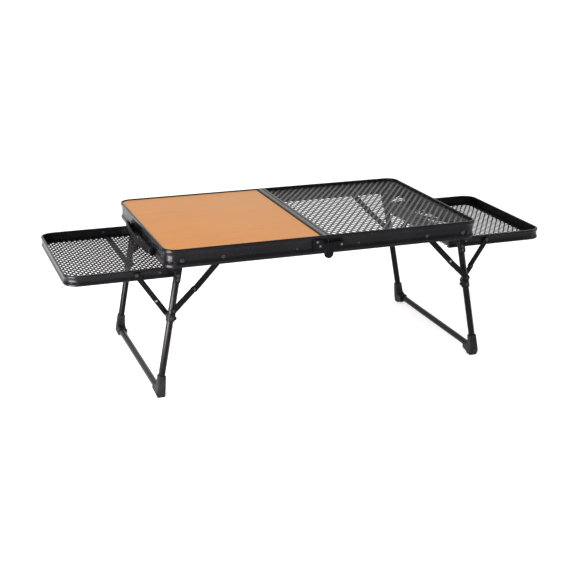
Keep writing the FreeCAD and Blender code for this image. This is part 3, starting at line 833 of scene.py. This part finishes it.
@dataclass
class LeafFrame:
    """One leaf: bent side profile, seam bar, panel or mesh, brackets, handle and pins."""

    side: Side
    palette: Palette
    length: float = 314.0 * MM
    half: float = 200.0 * MM
    top: float = 289.0 * MM
    height: float = 35.0 * MM
    corner: float = 24.0 * MM
    bead: float = 2.0 * MM
    bead_height: float = 7.0 * MM
    wall: float = 1.4 * MM
    lip: float = 3.2 * MM
    ledge: float = 14.0 * MM
    recess: float = 5.0 * MM
    seam_gap: float = 0.2 * MM
    round_over: float = 1.3 * MM
    bead_foot: float = 1.2 * MM
    shoulder: float = 0.38
    shoulder_dip: float = 0.25 * MM
    middle_dip: float = 0.3 * MM
    ledge_thickness: float = 2 * MM
    lip_chamfer: float = 0.4 * MM
    wood_drop: float = 1.8 * MM
    mesh_lift: float = 0.4 * MM
    mesh_cell: Span = (13.8 * MM, 20.5 * MM)
    mesh_strand: float = 3.5 * MM
    mesh_tilt: float = 1.1 * MM

    def section(self) -> Profile:
        """The side profile: two rounded beads, a hollow web, a lip and a ledge."""
        top, low = self.top, self.top - self.height
        upper, lower = bead_faces(top, low, self.bead_height, self.round_over)
        foot = self.bead_height + self.bead_foot
        shoulder = self.bead + self.shoulder_dip
        hollow = [(self.bead, top - foot),
                  (shoulder, top - self.shoulder * self.height),
                  (self.bead + self.middle_dip, (top + low) / 2),
                  (shoulder, low + self.shoulder * self.height),
                  (self.bead, low + foot)]
        web = self.bead + self.wall
        ledge_top = top - self.recess
        ledge_low = ledge_top - self.ledge_thickness
        inner = [(web, low), (web, ledge_low), (self.ledge, ledge_low), (self.ledge, ledge_top),
                 (self.lip, ledge_top), (self.lip, top - self.lip_chamfer),
                 (self.lip - self.lip_chamfer, top)]
        return upper + hollow + lower + inner

    def build(self, shop: Workshop) -> None:
        """Make and dress the leaf.

        Args:
            shop: the workshop.
        """
        word = self.side.word
        body = word + "_leaf"
        looks = self.palette
        bm = sweep_three_sides(self.section(), self.seam_gap, self.length, self.half, self.corner,
                               self.side)
        shop.piece(bm, body + "_frame_look", looks.frame, body, [body + "_frame"],
                   sharp=PROFILE_SHARP)
        for node, material, slot, ease in (
                ("seam_bar", looks.seam, "seam_grey", BAR_EASE),
                ("tray_brackets", looks.fittings, "black_steel", SMALL_EASE),
                ("leaf_rivets", looks.dark_rivet, "rivet_steel", PLATE_EASE),
                ("handle", looks.handle, "handle_plastic", GRIP_EASE),
                ("handle_screws", looks.dark_rivet, "rivet_steel", SMALL_EASE)):
            shop.dressed(f"{word}_{node}", material, body, ease)
        for depth in Depth:
            shop.dressed(f"{word}_hinge_leaf_{depth.word}", looks.fittings, body,
                         SMALL_EASE)
        if self.side is Side.LEFT:
            shop.dressed("centre_hinge_pins", looks.fittings, body, SMALL_EASE)
            self._wood_panel(shop, body)
        else:
            self._mesh_panel(shop, body)

    def _wood_panel(self, shop: Workshop, body: str) -> None:
        """Wood panel on the ledge, its face a little below the rim.

        Args:
            shop: the workshop.
            body: the leaf's body.
        """
        low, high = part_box("wood_panel")
        bm = shop.merged_copy("wood_panel")
        for vert in bm.verts:
            if vert.co.z > (low.z + high.z) / 2:
                vert.co.z -= self.wood_drop
        shop.piece(bm, "wood_panel_look", self.palette.wood, body, ["wood_panel"],
                   round_edges=PANEL_EASE)

    def _mesh_panel(self, shop: Workshop, body: str) -> None:
        """Expanded-metal panel on the ledge.

        Args:
            shop: the workshop.
            body: the leaf's body.
        """
        low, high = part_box("grill_mesh")
        sheet = ExpandedSheet(low.x, high.x, high.y, self.corner - self.lip,
                              low.z + self.mesh_lift, self.mesh_cell, self.mesh_strand,
                              self.mesh_tilt)
        shop.piece(sheet.build(self.side), "grill_mesh_look", self.palette.mesh, body,
                   ["grill_mesh"])


@dataclass
class WingTray:
    """One wing tray: beaded rim, inner bar, mesh floor and pins."""

    side: Side
    palette: Palette
    top: float = 244.3 * MM
    height: float = 20.0 * MM
    half: float = 156.0 * MM
    inner: float = 276.0 * MM
    outer: float = 488.0 * MM
    corner: float = 27.0 * MM
    bead_height: float = 4.4 * MM
    round_over: float = 1.2 * MM
    waist: float = 1.4 * MM
    waist_middle: float = 1.6 * MM
    waist_end: float = 6.0 * MM
    wall: float = 3 * MM
    lip: float = 4 * MM
    lip_thickness: float = 1.6 * MM
    lip_chamfer: float = 0.3 * MM
    ledge: float = 11 * MM
    ledge_thickness: float = 1.5 * MM
    mesh_inset: float = 3.1 * MM
    mesh_lift: float = 0.4 * MM
    mesh_cell: Span = (11.0 * MM, 17.4 * MM)
    mesh_strand: float = 2.4 * MM

    def section(self) -> Profile:
        """The rim's profile: two beads, a waist, a top lip and a floor ledge."""
        top, low = self.top, self.top - self.height
        upper, lower = bead_faces(top, low, self.bead_height, self.round_over)
        waist = [(self.waist, top - self.waist_end), (self.waist_middle, top - self.height / 2),
                 (self.waist, low + self.waist_end)]
        ledge_top = low + self.ledge_thickness
        lip_low = top - self.lip_thickness
        inner = [(self.ledge, low), (self.ledge, ledge_top), (self.wall, ledge_top),
                 (self.wall, lip_low), (self.lip, lip_low), (self.lip, top - self.lip_chamfer),
                 (self.lip - self.lip_chamfer, top)]
        return upper + waist + lower + inner

    def build(self, shop: Workshop) -> None:
        """Make and dress the tray.

        Args:
            shop: the workshop.
        """
        word = self.side.word
        body = word + "_tray"
        bm = sweep_three_sides(self.section(), self.inner, self.outer, self.half, self.corner,
                               self.side)
        shop.piece(bm, body + "_rim_look", self.palette.frame, body, [body + "_rim"],
                   sharp=PROFILE_SHARP)
        shop.dressed(body + "_bar", self.palette.tray_bar, body, LINK_EASE)
        shop.dressed(body + "_rivets", self.palette.dark_rivet, body, SMALL_EASE)
        low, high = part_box(body + "_mesh")
        near, far = sorted((abs(low.x), abs(high.x)))
        sheet = ExpandedSheet(near, far, high.y, self.corner - self.mesh_inset,
                              low.z + self.mesh_lift, self.mesh_cell, self.mesh_strand)
        shop.piece(sheet.build(self.side), body + "_mesh_look", self.palette.tray_mesh, body,
                   [body + "_mesh"])


@dataclass
class FoldingLeg:
    """One folding leg: bent tube, top fittings, collars, feet and rivets."""

    side: Side
    palette: Palette

    def build(self, shop: Workshop) -> None:
        """Make and dress the leg.

        Args:
            shop: the workshop.
        """
        word = self.side.word
        body = word + "_leg"
        looks = self.palette
        shop.dressed(body + "_frame", looks.steel, body, PLATE_EASE)
        shop.dressed(body + "_rivets", looks.dark_rivet, body, SMALL_EASE)
        for depth in Depth:
            shop.dressed(f"{body}_fitting_{depth.word}", looks.fittings, body,
                         PLATE_EASE)
            shop.dressed(f"{body}_collar_{depth.word}", looks.collar, body,
                         PLASTIC_EASE)
            shop.dressed(f"{word}_foot_{depth.word}", looks.foot, body,
                         PLASTIC_EASE)


@dataclass
class KneeStays:
    """The four two-link stays of one end."""

    side: Side
    palette: Palette
    links: tuple[str, ...] = ("inner_stay_upper", "inner_stay_lower", "outer_stay_upper",
                              "outer_stay_lower")
    inner_knee: Span = (259.5 * MM, 210.0 * MM)
    outer_knee: Span = (323.85 * MM, 183.9 * MM)
    rivet_radius: float = 1.9 * MM
    rivet_segments: int = 24
    inner_rise: float = 0.3 * MM
    outer_rise: float = 1.0 * MM

    def build(self, shop: Workshop) -> None:
        """Make and dress the links.

        Args:
            shop: the workshop.
        """
        left = self.side is Side.LEFT
        # Painted highlight: bright steel on the knees that catch a glint, blackened steel on the
        # others.
        heads = {
            "inner_stay_upper": (self.inner_knee, self.inner_rise,
                                 self.palette.dark_rivet if left else self.palette.rivet),
            "outer_stay_lower": (self.outer_knee, self.outer_rise,
                                 self.palette.rivet if left else self.palette.dark_rivet),
        }
        for link in self.links:
            body = f"{self.side.word}_{link}"
            for depth in Depth:
                shop.dressed(f"{body}_{depth.word}", self.palette.fittings, body,
                             LINK_EASE)
                if link in heads:
                    self._knee_rivet(shop, body, depth, *heads[link])

    def _knee_rivet(self, shop: Workshop, body: str, depth: Depth, knee: Span, rise: float,
                    material: bpy.types.Material) -> None:
        """Domed rivet head on a stay's knee.

        Args:
            shop: the workshop.
            body: the body of the link that faces outward at the knee.
            depth: long side of the table.
            knee: distance from the hinge line and height of the knee.
            rise: how far the head stands off the link.
            material: bright steel as a painted highlight, or blackened steel.
        """
        low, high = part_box(f"{body}_{depth.word}")
        face = low.y if depth is Depth.FRONT else high.y
        bm = bmesh.new()
        bmesh.ops.create_uvsphere(bm, u_segments=self.rivet_segments,
                                  v_segments=self.rivet_segments // 2,
                                  radius=self.rivet_radius)
        bmesh.ops.scale(bm, vec=(1, rise / self.rivet_radius, 1), verts=bm.verts)
        spot = (self.side.value * knee[0], face, knee[1])
        bmesh.ops.translate(bm, vec=spot, verts=bm.verts)
        shop.piece(bm, f"{body}_rivet_{depth.word}", material, body, [])


# ------------------------------------------------------------------- the studio


@dataclass(frozen=True)
class SoftBox:
    """One soft light aimed at the table; sizes in metres."""

    name: str
    place: tuple[float, float, float]
    size: Span
    watts: float
    aim: tuple[float, float, float] = (0.0, 0.0, 0.2)

    def build(self) -> None:
        """Set up the light."""
        data = bpy.data.lights.new(self.name, "AREA")
        data.shape = "RECTANGLE"
        data.size, data.size_y = self.size
        data.energy = self.watts
        lamp = bpy.data.objects.new(self.name, data)
        lamp.location = self.place
        sight = Vector(self.aim) - Vector(self.place)
        lamp.rotation_euler = sight.to_track_quat("-Z", "Y").to_euler()
        bpy.context.scene.collection.objects.link(lamp)


@dataclass
class Studio:
    """Pale floor, soft lights and the camera."""

    camera_at: tuple[float, float, float] = (-0.7844, -2.1782, 0.8874)
    pitch: float = 71.72
    yaw: float = -19.58
    lens: float = 73.75
    sensor: float = 36.0
    paper_half_width: float = 9.0
    paper_front: float = -6.0
    paper_rise: tuple[tuple[float, float, float], ...] = (
        (0, 14.0, 0), (0, 2.0, 0.6), (0, 0.8, 2.0), (0, 0, 7.0))
    sky_strength: float = 0.55
    lights: tuple[SoftBox, ...] = (
        SoftBox("key", (-1.2, -1.0, 2.3), (2.0, 1.4), 29.0),
        SoftBox("end_strip", (-1.5, -0.65, 0.50), (0.16, 0.95), 9.0),
        SoftBox("front_strip", (-1.3, -3.2, 0.8), (0.16, 1.5), 24.0),
        SoftBox("right_strip", (2.2, -1.5, 0.7), (0.16, 1.3), 12.0),
        SoftBox("low_left", (-0.86, -0.43, 0.07), (0.50, 0.13), 10.0),
    )

    def build(self) -> None:
        """Set up everything that isn't part of the table."""
        self._floor()
        self._sky()
        for light in self.lights:
            light.build()
        self._camera()

    def _floor(self) -> None:
        """Seamless paper that bends up behind the table."""
        bm = bmesh.new()
        corners = [bm.verts.new((x, self.paper_front, 0.0))
                   for x in (-self.paper_half_width, self.paper_half_width)]
        edge = bm.edges.new(corners)
        for move in self.paper_rise:
            edge = extruded(bm, [edge], Vector(move))[0]
        bmesh.ops.recalc_face_normals(bm, faces=bm.faces)
        mesh = bpy.data.meshes.new("paper")
        bm.to_mesh(mesh)
        bm.free()
        mesh.materials.append(StudioPaper().build())
        mesh.shade_smooth()
        paper = bpy.data.objects.new("paper", mesh)
        bpy.context.scene.collection.objects.link(paper)

    def _sky(self) -> None:
        """Even white surround."""
        world = bpy.data.worlds.new("surround")
        world.use_nodes = True
        background = world.node_tree.nodes["Background"]
        background.inputs["Color"].default_value = (1.0, 1.0, 1.0, 1.0)
        background.inputs["Strength"].default_value = self.sky_strength
        bpy.context.scene.world = world
        bpy.context.scene.view_settings.view_transform = "Standard"

    def _camera(self) -> None:
        """The camera; pitch and yaw in degrees, lens and sensor in millimetres."""
        data = bpy.data.cameras.new("view")
        data.lens = self.lens
        data.sensor_width = self.sensor
        camera = bpy.data.objects.new("view", data)
        camera.location = self.camera_at
        camera.rotation_euler = (math.radians(self.pitch), 0.0, math.radians(self.yaw))
        bpy.context.scene.collection.objects.link(camera)
        bpy.context.scene.camera = camera


def main() -> None:
    """Build the table's looks in order."""
    logging.basicConfig(level=logging.INFO, format="%(name)s: %(message)s")
    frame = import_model()
    shop = Workshop(frame["nodes"])
    palette = Palette()
    parts: list[Callable[[Workshop], None]] = []
    for side in Side:
        parts += [LeafFrame(side, palette).build, WingTray(side, palette).build,
                  FoldingLeg(side, palette).build, KneeStays(side, palette).build]
    for build in parts:
        build(shop)
    log.info("%d pieces", shop.count)
    Studio().build()


if __name__ == "__main__":
    main()
